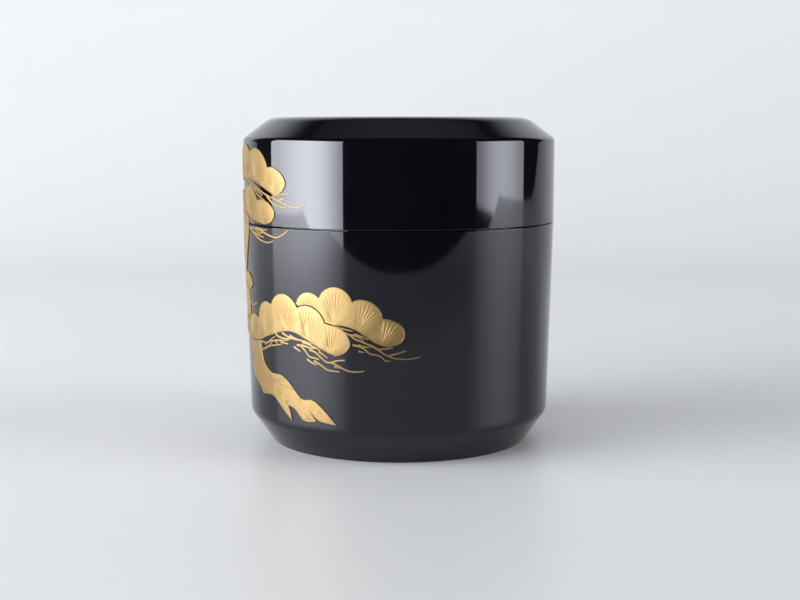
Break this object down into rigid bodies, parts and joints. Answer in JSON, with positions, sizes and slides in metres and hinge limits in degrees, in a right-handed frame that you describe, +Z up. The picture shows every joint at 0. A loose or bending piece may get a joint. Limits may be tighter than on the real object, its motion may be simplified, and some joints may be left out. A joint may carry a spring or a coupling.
{
  "type": "tea caddy",
  "caption": "Round lacquered wooden tea caddy with chamfered shoulder and base, a lift-off lid that slides over an inner lip, and a raised gold pine on the walls.",
  "frame": {"origin": "centre of the standing face, on the surface that the caddy stands on", "axes": "+Z up along the turning axis, -Y towards the front as pictured, +X to the right of that view"},
  "size_m": [0.0663, 0.066, 0.0683],
  "materials": {
    "wood": "turned and sealed, hidden under the lacquer",
    "black_lacquer": "polished black lacquer with mirror reflections",
    "gold": "sprinkled gold in low relief, satin, with fine radiating needle lines"
  },
  "bodies": {
    "caddy_body": {"body_core": "wood", "body_base_lacquer": "black_lacquer", "body_outer_lacquer": "black_lacquer", "body_inner_lacquer": "black_lacquer", "pine_front_bough": "gold", "pine_back_bough": "gold", "pine_side_bough": "gold", "pine_left_bough": "gold", "pine_high_bough": "gold", "pine_trunk_roots": "gold", "pine_trunk_middle": "gold", "pine_trunk_upper": "gold", "pine_front_twigs": "gold", "pine_back_twigs": "gold", "pine_left_twigs": "gold", "pine_high_twigs": "gold", "pine_seam_twigs": "gold"},
    "caddy_lid": {"lid_core": "wood", "lid_inner_lacquer": "black_lacquer", "lid_outer_lacquer": "black_lacquer", "pine_lid_lower_bough": "gold", "pine_lid_upper_bough": "gold", "pine_lid_left_bough": "gold", "pine_lid_trunk": "gold", "pine_lid_upper_twigs": "gold", "pine_lid_left_twigs": "gold"}
  },
  "joints": [
    {"name": "lid_lift", "type": "slide", "parent": "caddy_body", "child": "caddy_lid", "axis": [0, 0, 1], "range_m": [0, 0.06]}
  ]
}
